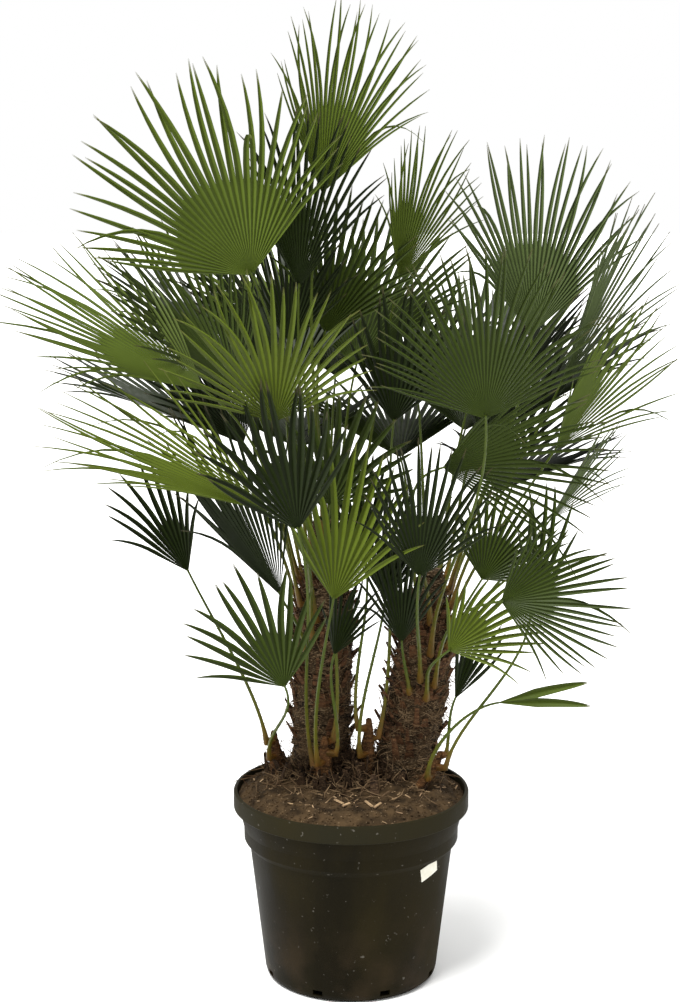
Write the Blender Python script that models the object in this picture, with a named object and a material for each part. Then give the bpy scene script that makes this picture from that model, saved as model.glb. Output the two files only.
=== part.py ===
"""Potted European fan palm: two leaning trunks and four young suckers in a round nursery pot.

The origin is the middle of the pot's underside, +Z is up and -Y is the side that is seen from the front.
Every stem ends in fronds. A frond is one thin blade on its petiole, cut to the rib between its leaflets.
"""

import math
from collections import namedtuple

import bmesh
import bpy
from mathutils import Matrix, Vector
from mathutils.bvhtree import BVHTree

# Clear gap between pieces that touch on the real plant
GAP = 0.0003

# Pot: heights and radii from the rim down
POT_HEIGHT = 0.41
RIM_RADIUS = 0.25
RIM_BAND = 0.038
COLLAR_RADIUS = 0.228
COLLAR_FOOT = 0.303
BODY_RADIUS = 0.2175
BODY_FOOT_RADIUS = 0.1845
CORNER = 0.018
WALL = 0.005
FLOOR = 0.006
POT_SEGMENTS = 48
DRAIN_COUNT = 8
DRAIN_WIDTH = 0.022
DRAIN_HEIGHT = 0.012

# Soil: a low mound that carries the stems
SOIL_EDGE = 0.395
SOIL_TOP = 0.42
SOIL_FLAT_RADIUS = 0.19

# Petioles and blades
BASE_WIDTH = 0.017
BASE_THICKNESS = 0.010
HUB_WIDTH = 0.009
PETIOLE_STEPS = 6
PETIOLE_START = 0.012
THICKNESS_SHARE = 0.01
NOTCH_REACH = 0.36
WIDEST_REACH = 0.66
WIDEST_SHARE = 0.62
OUTER_SHORTENING = 0.36
TRIM_STEPS = (1.0, 0.85, 0.7, 0.58)
CLEARANCE = 0.003

# A stem: foot and tip of its axis, radii at foot, body and tip, and the height where its crown starts
Stem = namedtuple("Stem", "foot tip foot_radius radius tip_radius crown sides")
FOOT = SOIL_TOP + GAP
STEMS = {
    "trunk_left": Stem((-0.066, 0.075, FOOT), (-0.055, 0.085, 0.98), 0.068, 0.060, 0.022, 0.70, 16),
    "trunk_right": Stem((0.112, 0.062, FOOT), (0.170, 0.075, 0.87), 0.070, 0.061, 0.022, 0.60, 16),
    "sucker_left": Stem((-0.155, 0.050, FOOT), (-0.166, 0.050, 0.52), 0.018, 0.015, 0.010, 0.45, 8),
    "sucker_front": Stem((-0.058, -0.020, FOOT), (-0.056, -0.026, 0.53), 0.021, 0.017, 0.010, 0.45, 8),
    "sucker_middle": Stem((0.030, 0.015, FOOT), (0.038, 0.010, 0.56), 0.017, 0.015, 0.010, 0.47, 8),
    "sucker_right": Stem((0.146, -0.030, FOOT), (0.186, -0.034, 0.50), 0.014, 0.012, 0.009, 0.44, 8),
}
FLARE_HEIGHT = 0.07
STEM_RINGS = 12
# On a slim sucker the seats are turned apart by this many degrees
SEAT_TURN = 75

# A frond: its hub, the direction its blade points in and the direction its upper side faces
Frond = namedtuple("Frond", "name stem hub axis face radius spread leaflets fold")


def turned(vector, about, degrees):
    return Matrix.Rotation(math.radians(degrees), 3, about) @ vector


def facing(name, stem, hub, slant, lean=0, turn=0, radius=0.4, spread=55, leaflets=10, fold=0.3):
    """A frond by its looks from the front: slant is its tilt to the right, lean its tilt to the front."""
    slant, lean = math.radians(slant), math.radians(lean)
    axis = Vector((math.sin(slant) * math.cos(lean), -math.sin(lean), math.cos(slant) * math.cos(lean)))
    face = Vector((0, -1, 0))
    face = (face - axis * axis.dot(face)).normalized()
    return Frond(name, stem, Vector(hub), axis, turned(face, axis, turn), radius, spread, leaflets, fold)


def radiating(name, stem, heading, rise, reach, radius, turn=0, spread=60, leaflets=10, fold=0.3):
    """A frond by its compass heading and its rise above level, with its upper side to the crown's middle."""
    middle = stem_axis(STEMS[stem], 0.85)
    heading, rise = math.radians(heading), math.radians(rise)
    level = Vector((math.cos(heading), math.sin(heading), 0))
    hub = middle + reach * (level * math.cos(rise) + Vector((0, 0, math.sin(rise))))
    rise -= BLADE_NOD
    axis = level * math.cos(rise) + Vector((0, 0, math.sin(rise)))
    face = Vector((0, 0, math.cos(rise))) - level * math.sin(rise)
    return Frond(name, stem, hub, axis, turned(face, axis, turn), radius, spread, leaflets, fold)


def stem_axis(stem, share):
    """Point of the stem's axis at a share of its height. The axis bends up: it leans most near its foot."""
    foot, tip = Vector(stem.foot), Vector(stem.tip)
    bend = 1 - (1 - share) ** 1.5
    return Vector((foot.x + (tip.x - foot.x) * bend, foot.y + (tip.y - foot.y) * bend,
                   foot.z + (tip.z - foot.z) * share))


def stem_radius(stem, share):
    """A root flare, a nearly even body, and a crown that rounds in to the tip."""
    height = (stem.tip[2] - stem.foot[2]) * share
    crown = (stem.crown - stem.foot[2]) / (stem.tip[2] - stem.foot[2])
    flare = max(0.0, 1 - height / FLARE_HEIGHT) ** 2 * (stem.foot_radius - stem.radius)
    if share <= crown:
        return stem.radius + flare
    inward = (share - crown) / (1 - crown)
    return stem.radius + flare - (stem.radius - stem.tip_radius) * inward ** 1.6


# Blades at the back and inside of the crown nod outwards by this much from their petioles
BLADE_NOD = math.radians(12)
BACK_GOLDEN = 0.618
BACK_PHASE = 0.30


def back_fronds(stem, count, middle, swing, radius):
    """The fronds of a trunk's far side: low ones first, their headings spread by the golden ratio."""
    rows = []
    for index in range(count):
        share = (index + 0.5) / count
        side = 2 * ((index * BACK_GOLDEN + BACK_PHASE) % 1) - 1
        rise = 24 + 50 * share
        heading = middle + swing * side * (0.6 + 0.4 * share)
        reach = 0.36 + 0.12 * math.sin(math.pi * share)
        rows.append(radiating("frond_%s_back_%d" % (stem.split("_")[1], index + 1), stem, heading, rise,
                              reach, radius))
    return rows


def fronds():
    rows = [
        facing("frond_top_centre", "trunk_left", (-0.06, 0.02, 1.66), 13, -3, 0, 0.41, 36, 12, 0.15),
        facing("frond_upper_left", "trunk_left", (-0.196, -0.15, 1.507), -25, 4, 0, 0.45, 62, 12, 0.15),
        facing("frond_left", "trunk_left", (-0.297, -0.1, 1.275), -57, 2, 58, 0.47, 42, 12, 0.2),
        facing("frond_left_behind", "trunk_left", (-0.237, 0.0431, 1.254), -32, 0, 50, 0.42, 50, 10),
        facing("frond_left_low", "trunk_left", (-0.164, -0.217, 1.051), -63, 2, 45, 0.5, 26, 10),
        facing("frond_left_inner", "trunk_left", (-0.147, -0.06, 0.844), -27, 0, 45, 0.48, 32, 8),
        facing("frond_centre_left", "trunk_left", (-0.147, -0.253, 1.234), -5, 30, 0, 0.36, 56, 10),
        facing("frond_inner_left", "trunk_left", (-0.128, 0.06, 1.351), 8, 0, 0, 0.26, 42, 8),
        facing("frond_inner_centre", "trunk_left", (-0.055, 0.09, 1.37), 18, 0, 0, 0.32, 48, 8),
        facing("frond_centre_low", "sucker_front", (-0.042, -0.0808, 1.035), 10, 18, 0, 0.27, 60, 8),
        facing("frond_upper_middle", "trunk_left", (0.1, 0.1, 1.48), 14, 0, 20, 0.33, 32, 10),
        facing("frond_centre_right", "trunk_right", (0.243, -0.448, 1.268), -5, 20, 0, 0.36, 60, 14),
        facing("frond_upper_right", "trunk_right", (0.368, -0.00672, 1.378), 3, -8, 0, 0.42, 45, 12),
        facing("frond_right_upper", "trunk_right", (0.425, -0.04, 1.282), 23, 0, 55, 0.42, 40, 10),
        facing("frond_right", "trunk_right", (0.411, -0.0904, 1.154), 31, 5, 40, 0.36, 42, 10),
        facing("frond_right_lower", "trunk_right", (0.42, 0.06, 0.98), 33, 0, 55, 0.26, 40, 8),
        facing("frond_low_right", "trunk_right", (0.292, -0.26, 0.8793), 78, 18, 0, 0.26, 62, 10),
        facing("frond_low_inner", "trunk_right", (0.27, -0.0318, 0.8699), 30, 5, 0, 0.23, 60, 8),
        facing("frond_low_bright", "trunk_right", (0.195, -0.17, 0.755), 50, 12, 0, 0.22, 52, 6),
        facing("frond_right_level", "trunk_right", (0.178, -0.207, 1.136), 76, 8, 20, 0.34, 50, 10),
        facing("frond_inner_right", "trunk_right", (0.105, -0.05, 0.74), -2, 10, 0, 0.27, 34, 6),
        facing("frond_sucker_left_far", "sucker_left", (-0.34, 0.0, 0.88), -25, 0, 0, 0.26, 34, 6),
        facing("frond_sucker_left_near", "sucker_left", (-0.136, -0.12, 0.665), -22, 8, 0, 0.29, 52, 8),
        facing("frond_sucker_front_tall", "sucker_front", (-0.0366, -0.17, 0.8604), 10, 3, 0, 0.34, 42, 8),
        facing("frond_sucker_front_short", "sucker_front", (-0.036, -0.0609, 0.7163),
               18, 5, 0, 0.2, 30, 6),
        facing("frond_sucker_middle_one", "sucker_middle", (0.07, -0.03, 0.825), 6, 0, 0, 0.26, 36, 6),
        facing("frond_sucker_middle_two", "sucker_middle", (0.03, 0.02, 0.901), -10, 0, 0, 0.25, 36, 6),
        facing("frond_sucker_right_low", "sucker_right", (0.3, -0.1, 0.625), 80, 4, 0, 0.21, 14, 2),
        facing("frond_sucker_right_mid", "sucker_right", (0.216, -0.06, 0.622), 22, 0, 0, 0.21, 24, 4),
        facing("frond_sucker_right_tall", "sucker_right", (0.363, -0.12, 0.805), 8, 0, 0, 0.31, 18, 4),
        facing("frond_mid_left", "sucker_front", (-0.105, -0.26, 1.022), -14, 8, 0, 0.32, 46, 8),
        facing("frond_mid_right", "trunk_right", (0.134, -0.208, 0.9158), 6, 8, 0, 0.3, 46, 8),
        facing("frond_mid_centre", "sucker_middle", (0.0876, 0.0333, 1.19), 6, 4, 0, 0.3, 44, 8),
        facing("frond_mid_behind", "trunk_right", (0.306, 0.094, 1.071), 12, 0, 25, 0.34, 46, 8),
        facing("frond_left_under", "trunk_left", (-0.228, 0.101, 1.133), -28, 0, 30, 0.34, 44, 8),
        facing("frond_upper_inner", "trunk_left", (-0.107, -0.00163, 1.472), 2, 0, 20, 0.38, 36, 8),
    ]
    rows += back_fronds("trunk_left", 8, 112, 48, 0.42)
    rows += back_fronds("trunk_right", 7, 72, 46, 0.40)
    return rows


def material(name, colour, roughness, metallic=0.0):
    made = bpy.data.materials.new(name)
    made.use_nodes = True
    shader = made.node_tree.nodes["Principled BSDF"]
    shader.inputs["Base Color"].default_value = (*colour, 1)
    shader.inputs["Roughness"].default_value = roughness
    shader.inputs["Metallic"].default_value = metallic
    return made


def add_object(name, bm, finish, smooth_degrees=None):
    mesh = bpy.data.meshes.new(name)
    bm.to_mesh(mesh)
    bm.free()
    made = bpy.data.objects.new(name, mesh)
    bpy.context.scene.collection.objects.link(made)
    mesh.materials.append(finish)
    if smooth_degrees:
        mesh.shade_smooth()
        mesh.set_sharp_from_angle(angle=math.radians(smooth_degrees))
    return made


def turn_profile(name, profile, finish):
    """A round solid: the profile's points run down its outer side and end on the axis."""
    bm = bmesh.new()
    points = [bm.verts.new((radius, 0, height)) for radius, height in profile]
    for upper, lower in zip(points, points[1:]):
        bm.edges.new((upper, lower))
    made = add_object(name, bm, finish, 40)
    screw = made.modifiers.new("Turned", "SCREW")
    screw.steps = screw.render_steps = POT_SEGMENTS
    screw.use_merge_vertices = True
    screw.merge_threshold = 0.0001
    screw.use_smooth_shade = False
    return made


def body_radius(height):
    """Outer radius of the pot's tapered body."""
    share = (height - CORNER) / (COLLAR_FOOT - CORNER)
    return BODY_FOOT_RADIUS + (BODY_RADIUS - BODY_FOOT_RADIUS) * share


def build_pot():
    step = BODY_RADIUS - COLLAR_RADIUS
    profile = [
        (RIM_RADIUS - 0.002, POT_HEIGHT),
        (RIM_RADIUS, POT_HEIGHT - 0.003),
        (RIM_RADIUS, POT_HEIGHT - RIM_BAND),
        (COLLAR_RADIUS + 0.001, POT_HEIGHT - RIM_BAND),
        (COLLAR_RADIUS, COLLAR_FOOT),
        (body_radius(COLLAR_FOOT + step), COLLAR_FOOT + step),
        (BODY_FOOT_RADIUS, CORNER),
        (BODY_FOOT_RADIUS - 0.35 * CORNER, 0.3 * CORNER),
        (BODY_FOOT_RADIUS - CORNER, 0),
        (0, 0),
        (0, FLOOR),
        (BODY_FOOT_RADIUS - CORNER, FLOOR),
        (BODY_FOOT_RADIUS - WALL, CORNER + WALL),
        (BODY_RADIUS - WALL, COLLAR_FOOT - WALL),
        (COLLAR_RADIUS - WALL, COLLAR_FOOT + WALL),
        (RIM_RADIUS - 2 * WALL, POT_HEIGHT - RIM_BAND + WALL),
        (RIM_RADIUS - 1.6 * WALL, POT_HEIGHT),
        (RIM_RADIUS - 0.002, POT_HEIGHT),
    ]
    pot = turn_profile("pot", profile, material("pot_plastic", (0.035, 0.037, 0.032), 0.55))
    cut_drains(pot)
    return pot


def cut_drains(pot):
    """Slots through the foot of the wall, evenly round the pot."""
    bm = bmesh.new()
    for index in range(DRAIN_COUNT):
        angle = 2 * math.pi * (index + 0.5) / DRAIN_COUNT
        place = (Matrix.Rotation(angle, 4, "Z") @ Matrix.Translation((BODY_FOOT_RADIUS, 0, CORNER))
                 @ Matrix.Diagonal((3 * CORNER, DRAIN_WIDTH, DRAIN_HEIGHT, 1)))
        bmesh.ops.create_cube(bm, size=1, matrix=place)
    cutter = add_object("drain_cutter", bm, pot.data.materials[0])
    cutter.hide_render = True
    cutter.display_type = "WIRE"
    cut = pot.modifiers.new("Drains", "BOOLEAN")
    cut.operation = "DIFFERENCE"
    cut.solver = "EXACT"
    cut.object = cutter


def build_soil():
    inner = RIM_RADIUS - 2 * WALL - GAP
    shrink = WALL + GAP
    profile = [
        (SOIL_FLAT_RADIUS, SOIL_TOP),
        (inner, SOIL_EDGE),
        (inner, POT_HEIGHT - RIM_BAND + WALL + GAP),
        (COLLAR_RADIUS - shrink, COLLAR_FOOT + WALL + GAP),
        (BODY_RADIUS - shrink, COLLAR_FOOT - WALL + GAP),
        (BODY_FOOT_RADIUS - shrink - CORNER * 0.4, CORNER + WALL + CORNER * 0.5),
        (0, CORNER + WALL + CORNER * 0.5),
        (0, SOIL_TOP),
        (SOIL_FLAT_RADIUS, SOIL_TOP),
    ]
    return turn_profile("soil", profile, material("soil_brown", (0.05, 0.03, 0.018), 0.95))


def build_stem(name, stem, finish):
    """Level rings from the flat foot to the tip, bridged one to the next."""
    bm = bmesh.new()
    loops = []
    for ring in range(STEM_RINGS + 1):
        share = (ring / STEM_RINGS) ** 1.15
        centre, radius = stem_axis(stem, share), stem_radius(stem, share)
        points = []
        for side in range(stem.sides):
            angle = 2 * math.pi * side / stem.sides
            points.append(bm.verts.new(centre + radius * Vector((math.cos(angle), math.sin(angle), 0))))
        loops.append([bm.edges.new(pair) for pair in zip(points, points[1:] + points[:1])])
    for lower, upper in zip(loops, loops[1:]):
        bmesh.ops.bridge_loops(bm, edges=lower + upper)
    bmesh.ops.holes_fill(bm, edges=loops[0] + loops[-1])
    bmesh.ops.recalc_face_normals(bm, faces=bm.faces)
    return add_object(name, bm, finish, 35)


def tree_of(bm_object):
    mesh = bm_object.data
    return BVHTree.FromPolygons([v.co for v in mesh.vertices], [p.vertices for p in mesh.polygons])


def seat_way(frond, stem, share, turn):
    """The middle of the stem at the seat, and the level way out from there to the frond's side."""
    centre = stem_axis(stem, share)
    away = Vector((frond.hub.x - centre.x, frond.hub.y - centre.y, 0)).normalized()
    return centre, turned(away, Vector((0, 0, 1)), turn)


def seat(frond, stem, tree, share, turn):
    """Where the petiole leaves its stem: a point just off the stem's face, and the face's normal."""
    centre, away = seat_way(frond, stem, share, turn)
    hit, normal, _, _ = tree.ray_cast(centre + away, -away)
    return hit + normal * GAP, normal


def seats(rows):
    """For each frond the share of its stem's height where it is seated, lowest for the most level, and its turn."""
    found = {}
    for name, stem in STEMS.items():
        own = [row for row in rows if row.stem == name]
        middle = stem_axis(stem, 0.6)
        own.sort(key=lambda row: (row.hub - middle).normalized().z)
        lowest = (stem.crown - stem.foot[2]) / (stem.tip[2] - stem.foot[2])
        for index, row in enumerate(own):
            turn = 0 if name.startswith("trunk") else SEAT_TURN * (index - (len(own) - 1) / 2)
            found[row.name] = (lowest + (0.96 - lowest) * (index + 0.5) / len(own), turn)
    return found


def petiole(frond, start, normal):
    """Pairs of points across the petiole, from its stem to the hub, with its direction at each."""
    across_hub = frond.axis.cross(frond.face)
    across_base = normal.cross(Vector((0, 0, 1))).normalized()
    if across_base.dot(across_hub) < 0:
        across_base.negate()
    first = start + normal * PETIOLE_START
    length = (frond.hub - first).length
    bend = first + (normal * 0.25 + Vector((0, 0, 1))).normalized() * 0.3 * length
    arrive = frond.hub - frond.axis * 0.3 * length
    pairs = [(start, across_base, BASE_WIDTH)]
    for step in range(PETIOLE_STEPS + 1):
        t = step / PETIOLE_STEPS
        point = ((1 - t) ** 3 * first + 3 * t * (1 - t) ** 2 * bend + 3 * t * t * (1 - t) * arrive
                 + t ** 3 * frond.hub)
        along = (3 * (1 - t) ** 2 * (bend - first) + 6 * t * (1 - t) * (arrive - bend)
                 + 3 * t * t * (frond.hub - arrive)).normalized()
        across = across_base.lerp(across_hub, t)
        across = (across - along * across.dot(along)).normalized()
        pairs.append((point, across, BASE_WIDTH + (HUB_WIDTH - BASE_WIDTH) * t))
    return pairs


def leaflet_length(frond, angle):
    return frond.radius * (1 - OUTER_SHORTENING * (abs(angle) / frond.spread) ** 2.2)


def blade_point(frond, angle, reach, sideways=0.0):
    """A point of the blade: angle in degrees from its axis, reach and sideways in metres."""
    turn = math.radians(angle)
    across = frond.axis.cross(frond.face)
    along = frond.axis * math.cos(turn) + across * math.sin(turn)
    beside = across * math.cos(turn) - frond.axis * math.sin(turn)
    lift = frond.fold * reach * (angle / frond.spread) ** 2
    return frond.hub + along * reach + beside * sideways + frond.face * lift


def leaflet_outline(frond, index, share, gap=0.0):
    """Root, widest part and tip of one leaflet, the tip at a share of its length."""
    step = 2 * frond.spread / frond.leaflets
    left = -frond.spread + index * step
    angle = left + step / 2
    length = leaflet_length(frond, angle)
    notch = NOTCH_REACH * length
    half = WIDEST_SHARE * notch * math.tan(math.radians(step / 2)) + gap
    widest = WIDEST_REACH * length * share
    return [
        blade_point(frond, left, NOTCH_REACH * leaflet_length(frond, left) + gap),
        blade_point(frond, angle, widest, -half),
        blade_point(frond, angle, length * share + gap),
        blade_point(frond, angle, widest, half),
        blade_point(frond, left + step, NOTCH_REACH * leaflet_length(frond, left + step) + gap),
    ]


def slab(outline, face, thickness):
    """Closed faces of a thin plate, for the test that keeps a leaflet off what is already there."""
    count = len(outline)
    points = [p + face * thickness / 2 for p in outline] + [p - face * thickness / 2 for p in outline]
    faces = [tuple(range(count)), tuple(reversed(range(count, 2 * count)))]
    for one in range(count):
        two = (one + 1) % count
        faces.append((two, one, one + count, two + count))
    return BVHTree.FromPolygons(points, faces)


def core_trees(frond, pairs):
    """The petiole and the joined inner blade, as plates."""
    trees = []
    for (a, across_a, wide_a), (b, across_b, wide_b) in zip(pairs, pairs[1:]):
        face = (b - a).cross(across_a).normalized()
        ring = [a - across_a * wide_a / 2, a + across_a * wide_a / 2,
                b + across_b * wide_b / 2, b - across_b * wide_b / 2]
        trees.append(slab(ring, face, BASE_THICKNESS + CLEARANCE))
    for index in range(frond.leaflets):
        outline = leaflet_outline(frond, index, 1)
        palm = [frond.hub, outline[0], outline[4]]
        trees.append(slab(palm, frond.face, THICKNESS_SHARE * frond.radius + CLEARANCE))
    return trees


def touches(tree, others):
    return any(tree.overlap(other) for other in others)


def trimmed_leaflets(rows, cores, stem_trees):
    """For each frond, the share of its length that every leaflet keeps, and 0 where there is no room."""
    kept, placed = {}, {row.name: [] for row in rows}
    for row in rows:
        others = list(stem_trees)
        for name in cores:
            if name != row.name:
                others += cores[name] + placed[name]
        shares = []
        for index in range(row.leaflets):
            found = 0.0
            for share in TRIM_STEPS:
                outline = leaflet_outline(row, index, share, CLEARANCE)
                tree = slab(outline, row.face, THICKNESS_SHARE * row.radius + 2 * CLEARANCE)
                if not touches(tree, others):
                    found = share
                    placed[row.name].append(tree)
                    break
            shares.append(found)
        kept[row.name] = shares
    return kept


def build_frond(frond, pairs, shares, finish):
    """One sheet, from the petiole's foot to the leaflets' tips, given its thickness by Solidify."""
    bm = bmesh.new()
    weights = bm.verts.layers.deform.verify()

    def add(point, weight):
        vert = bm.verts.new(point)
        vert[weights][0] = weight
        return vert

    blade = THICKNESS_SHARE * frond.radius / BASE_THICKNESS
    left = right = None
    for step, (point, across, width) in enumerate(pairs):
        weight = 1 + (blade - 1) * step / (len(pairs) - 1)
        next_left = add(point - across * width / 2, weight)
        next_right = add(point + across * width / 2, weight)
        if left:
            bm.faces.new((left, right, next_right, next_left))
        left, right = next_left, next_right
    notches = []
    for index in range(frond.leaflets):
        outline = leaflet_outline(frond, index, 1)
        notches.append(add(outline[0], blade))
    notches.append(add(outline[4], blade))
    middle = frond.leaflets // 2
    bm.faces.new((left, right, notches[middle]))
    for index in range(frond.leaflets):
        hub = left if index < middle else right
        first, second = notches[index], notches[index + 1]
        bm.faces.new((hub, second, first))
        if not shares[index]:
            continue
        outline = leaflet_outline(frond, index, shares[index])
        wide_left, tip, wide_right = (add(point, blade) for point in outline[1:4])
        bm.faces.new((first, second, wide_right, wide_left))
        bm.faces.new((wide_left, wide_right, tip))
    made = add_object(frond.name, bm, finish)
    made.vertex_groups.new(name="thickness")
    thicken = made.modifiers.new("Thickness", "SOLIDIFY")
    thicken.thickness = BASE_THICKNESS
    thicken.offset = 0
    thicken.vertex_group = "thickness"
    return made


def leaf_finishes():
    return [
        material("leaf_mid", (0.060, 0.115, 0.018), 0.45),
        material("leaf_bright", (0.100, 0.170, 0.020), 0.45),
        material("leaf_dark", (0.022, 0.055, 0.010), 0.50),
        material("leaf_grey", (0.075, 0.125, 0.050), 0.50),
    ]


def clear_scene():
    for item in list(bpy.data.objects):
        bpy.data.objects.remove(item)


def plan_crown(stems, rows):
    """Every petiole's route, and the plates that stand for each frond's petiole and inner blade."""
    places = seats(rows)
    trees = {name: tree_of(item) for name, item in stems.items()}
    routes, cores = {}, {}
    for row in rows:
        start, normal = seat(row, STEMS[row.stem], trees[row.stem], *places[row.name])
        routes[row.name] = petiole(row, start, normal)
        cores[row.name] = core_trees(row, routes[row.name])
    return routes, cores, trees


def main():
    clear_scene()
    build_pot()
    build_soil()
    bark = material("trunk_fibre", (0.085, 0.050, 0.028), 0.9)
    young = material("sucker_fibre", (0.170, 0.080, 0.030), 0.8)
    stems = {}
    for name, stem in STEMS.items():
        stems[name] = build_stem(name, stem, bark if name.startswith("trunk") else young)
    rows = fronds()
    routes, cores, trees = plan_crown(stems, rows)
    kept = trimmed_leaflets(rows, cores, trees.values())
    finishes = leaf_finishes()
    for index, row in enumerate(rows):
        build_frond(row, routes[row.name], kept[row.name], finishes[index % len(finishes)])


if __name__ == "__main__":
    main()
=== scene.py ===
import random
from collections import namedtuple
from math import cos, exp, hypot, pi, radians, sin, sqrt, tan, tau

import bpy
import numpy as np
from mathutils import Matrix, Vector, noise


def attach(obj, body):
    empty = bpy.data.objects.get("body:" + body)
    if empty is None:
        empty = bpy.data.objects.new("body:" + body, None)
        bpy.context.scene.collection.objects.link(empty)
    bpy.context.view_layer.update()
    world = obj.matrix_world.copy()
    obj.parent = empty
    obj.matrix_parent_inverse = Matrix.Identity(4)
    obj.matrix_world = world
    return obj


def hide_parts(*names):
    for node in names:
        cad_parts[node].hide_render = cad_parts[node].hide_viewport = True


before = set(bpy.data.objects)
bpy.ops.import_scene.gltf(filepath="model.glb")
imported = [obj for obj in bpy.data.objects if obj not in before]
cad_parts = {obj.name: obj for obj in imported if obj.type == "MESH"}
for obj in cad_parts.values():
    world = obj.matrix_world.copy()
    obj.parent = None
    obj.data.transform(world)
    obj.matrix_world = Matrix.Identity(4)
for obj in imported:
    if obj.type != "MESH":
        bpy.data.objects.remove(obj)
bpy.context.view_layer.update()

bl_info = {
    "name": "Potted fan palm",
    "version": (1, 0, 0),
    "blender": (4, 5, 0),
    "location": "View3D > Sidebar > Palm",
    "description": "Builds a multi-stemmed fan palm in its nursery pot, piece by piece",
    "category": "Object",
}

# Sizes of the pot, the soil and the petioles, in metres, as the solids have them
GAP = 0.0003
POT_HEIGHT = 0.41
RIM_RADIUS = 0.25
RIM_BAND = 0.038
COLLAR_RADIUS = 0.228
COLLAR_FOOT = 0.303
BODY_RADIUS = 0.2175
BODY_FOOT_RADIUS = 0.1845
CORNER = 0.018
WALL = 0.005
FLOOR = 0.006
DRAIN_COUNT = 8
DRAIN_WIDTH = 0.022
DRAIN_HEIGHT = 0.012
SOIL_EDGE = 0.395
SOIL_TOP = 0.42
SOIL_FLAT_RADIUS = 0.19
BASE_WIDTH = 0.017
HUB_WIDTH = 0.009
PETIOLE_START = 0.012

# Rules of the stems and fronds, as the solids have them
FOOT = SOIL_TOP + GAP
FLARE_HEIGHT = 0.07
CROWN_MIDDLE = 0.85
SEAT_MIDDLE = 0.6
SEAT_TOP = 0.96
SEAT_TURN = 75
PETIOLE_OUTWARDS = 0.25
PETIOLE_BEND = 0.3
OUTER_SHORTENING = 0.36
BLADE_NOD = radians(12)
BACK_GOLDEN = 0.618
BACK_PHASE = 0.3
BACK_RISE, BACK_RISE_GAIN = 24, 50
BACK_REACH, BACK_REACH_GAIN = 0.36, 0.12
# Half spread, leaflets and fold of the far side's blades
BACK_BLADE = (60, 10, 0.3)

# A fine leaflet: its cross-sections' places and widths, the notch where it parts, its fork and its pleat
NOTCH = 0.42
STATIONS = (0.015, 0.15, 0.29, 0.42, 0.53, 0.63, 0.73, 0.83, 0.92, 1.0)
WIDTHS = (1.0, 1.0, 1.0, 1.0, 0.95, 0.87, 0.76, 0.6, 0.38, 0.1)
FORK = 0.93
PLEAT = 0.72
SUCKER_DENSITY = 0.72
LEAF_SHINE = 0.16

# How one leaflet differs from the next, as shares of its length, and how many of them droop
LENGTHS = (0.94, 1.02)
SWAY = 0.045
FLEX = 0.035
NODS = (0.01, 0.05)
OUTER_NOD = 0.04
DROOPING = 0.035
DROOPS = (0.15, 0.4)

# The petioles: cross-sections, and widths and thicknesses against the solids' width
PETIOLE_STEPS = 16
PETIOLE_SIDES = 8
STALK_WIDTH, SHEATH_WIDTH, SHEATH_TAPER = 0.52, 0.7, 7
THICK_ABOVE, THICK_BELOW = 0.3, 0.6
SPINE_EVERY = 0.017
SPINE_LENGTHS = (0.003, 0.006)
SPINE_FOOT, SPINE_SUNK, SPINE_THICKNESS = 0.0013, 0.001, 0.0009

# The stems' bark: its grid, its rows of old leaf bases in metres, and its fibres
AROUND_TRUNK, ALONG_TRUNK = 128, 190
AROUND_SUCKER, ALONG_SUCKER = 40, 60
SCALE_ROW = 0.021
SCALE_LIFT = 0.0065
SCALE_RADIUS = 0.06
GOLDEN_TURN = 0.381966
ROW_WANDER = 0.6
ROUGHNESS, ROUGH_SCALE = 0.0035, 75
SUCKER_NARROWING = 0.55
STRAND_SIDES = 3
STRAND_THICKNESS = (0.0004, 0.0009)
SUCKER_STRANDS = 70

# The pot's rounded edges, the soil's clods and heap, and what lies on it, in metres
LIP, EDGE = 0.004, 0.002
POT_AROUND = 144
CLOD, CLOD_SCALE = 0.0045, 42
HEAP, HEAP_WIDTH, HEAP_DEPTH = 0.04, 0.13, 0.085
SOIL_AROUND, SOIL_RINGS, SOIL_FLOOR = 180, 70, 0.034
CHIPS, CHIP_REACH, CRUMB_REACH = 110, 0.225, 0.232
LITTER, LITTER_REACH = 1100, 0.22

# Colours that belong to one finish, linear
LEAF_TIP = (0.095, 0.075, 0.03, 1)
PETIOLE_STOPS = ((0.0, (0.085, 0.034, 0.009)), (0.07, (0.115, 0.058, 0.012)),
                 (0.18, (0.095, 0.088, 0.01)), (0.45, (0.052, 0.07, 0.008)), (1.0, (0.046, 0.066, 0.008)))
PETIOLE_SPECKLE = (0.03, 0.045, 0.01, 1)
TRUNK_PALE = (0.3, 0.21, 0.12)
LEAF_BASE = ((0.075, 0.034, 0.015), (0.21, 0.13, 0.065))
DEAD_BASE = ((0.03, 0.017, 0.009), (0.15, 0.095, 0.05))
SHEATH = ((0.078, 0.035, 0.013), (0.22, 0.125, 0.05))
FIBRE = ((0.045, 0.023, 0.011, 1), (0.21, 0.14, 0.075, 1))
POT_DIRT = (0.03, 0.02, 0.01, 1)
POT_SPECK = (0.13, 0.12, 0.1, 1)
SOIL_GRIT = (0.24, 0.17, 0.1, 1)
CHIP_WOOD = ((0.42, 0.29, 0.16), (0.22, 0.14, 0.08))
PAPER = ((0.62, 0.6, 0.5), (0.7, 0.68, 0.6))
PALE_FLOOR = ((0.86, 0.86, 0.85), (0.88, 0.88, 0.87))

UP = Vector((0, 0, 1))

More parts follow.
